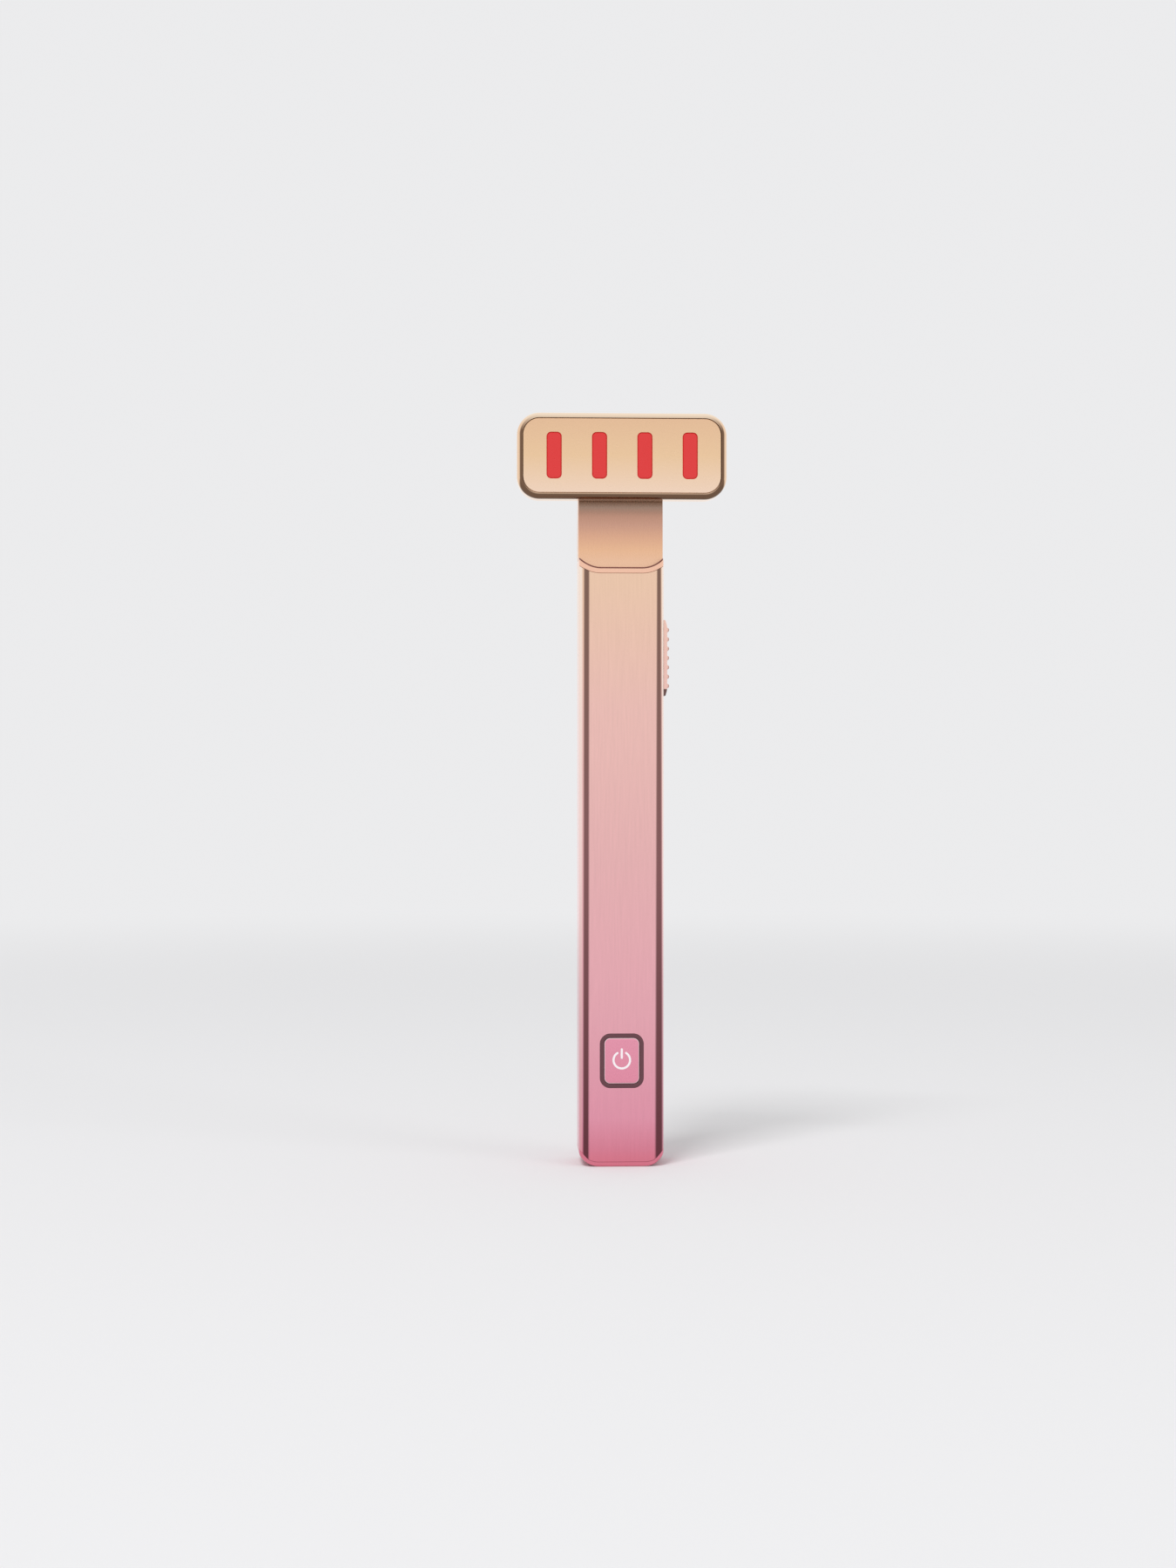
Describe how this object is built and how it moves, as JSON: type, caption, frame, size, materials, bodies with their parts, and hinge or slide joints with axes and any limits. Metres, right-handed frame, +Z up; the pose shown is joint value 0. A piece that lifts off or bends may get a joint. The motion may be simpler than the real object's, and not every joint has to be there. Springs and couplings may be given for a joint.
{
  "type": "light therapy wand",
  "caption": "Slim hand-held light therapy wand: flat slotted head that swivels on a tapered neck, rounded rectangular handle with power button and side slider.",
  "frame": {"origin": "middle of the wand's overall box, at the flat foot of the end cap", "axes": "+Z up along the handle towards the head, -Y towards the light face, +X towards the side slider"},
  "size_m": [0.0468, 0.016, 0.168],
  "materials": {
    "handle_metal": "satin rose to peach coating",
    "cap_metal": "satin",
    "collar_metal": "bright satin",
    "neck_coating": "metallic satin coating",
    "slider_coating": "metallic satin coating",
    "button_coating": "metallic satin coating",
    "dark_ring": "polished dark",
    "head_shell": "metallic gloss coating",
    "face_metal": "pale gold satin",
    "lit_red": "clear red, lit",
    "film": "thin printed film",
    "soft_black": "matte",
    "circuit_board": "solder mask",
    "light_circuit_board": "white solder mask",
    "led_package": "clear",
    "steel": "plain",
    "black_plastic": "moulded",
    "white_plastic": "moulded",
    "cell_wrap": "shrink sleeve",
    "wire_red": "wire cover",
    "wire_black": "wire cover",
    "wire_grey": "wire cover"
  },
  "bodies": {
    "handle": {"handle_tube": "handle_metal", "bottom_cap": "cap_metal", "cap_seal": "soft_black", "top_collar": "collar_metal", "neck_arm": "neck_coating", "neck_back_cover": "neck_coating", "friction_washer": "white_plastic", "wave_spring": "steel", "usb_shell": "steel", "usb_tongue": "black_plastic", "inner_chassis": "black_plastic", "main_board": "circuit_board", "main_board_screw_lower": "steel", "main_board_screw_upper": "steel", "battery_cell": "cell_wrap", "battery_tab_top": "steel", "battery_tab_bottom": "steel", "battery_lead_red": "wire_red", "battery_lead_black": "wire_black", "tact_switch": "steel", "button_ring": "dark_ring", "ground_spring": "steel", "switch_board": "circuit_board", "slide_switch_body": "steel", "switch_lead": "wire_grey", "vibration_motor": "steel", "motor_sleeve": "soft_black", "head_cable": "wire_black"},
    "head": {"treatment_plate": "face_metal", "heater_film": "film", "head_seal": "soft_black", "light_diffuser": "lit_red", "led_board": "light_circuit_board", "led_1": "led_package", "led_2": "led_package", "led_3": "led_package", "led_4": "led_package", "led_5": "led_package", "led_6": "led_package", "led_7": "led_package", "led_8": "led_package", "led_board_screw_left": "steel", "led_board_screw_right": "steel", "head_housing": "head_shell", "pivot_shaft": "steel", "retaining_clip": "steel"},
    "button": {"power_button": "button_coating", "tact_plunger": "black_plastic"},
    "slider": {"mode_slider": "slider_coating", "slider_carriage": "black_plastic"},
    "motor_weight": {"eccentric_weight": "steel"}
  },
  "joints": [
    {"name": "head_swivel", "type": "hinge", "parent": "handle", "child": "head", "pos_m": [0, 0, 0.1584], "axis": [0, -1, 0], "range_deg": [-90, 90]},
    {"name": "power_button_press", "type": "slide", "parent": "handle", "child": "button", "axis": [0, 1, 0], "range_m": [0, 0.00035], "stiffness_N_per_m": 400, "springref_m": -0.0005},
    {"name": "mode_slide", "type": "slide", "parent": "handle", "child": "slider", "axis": [0, 0, -1], "range_m": [0, 0.004]},
    {"name": "motor_spin", "type": "hinge", "parent": "handle", "child": "motor_weight", "pos_m": [-0.0039, 0.001, 0.1151], "axis": [0, 0, 1], "continuous": true}
  ]
}
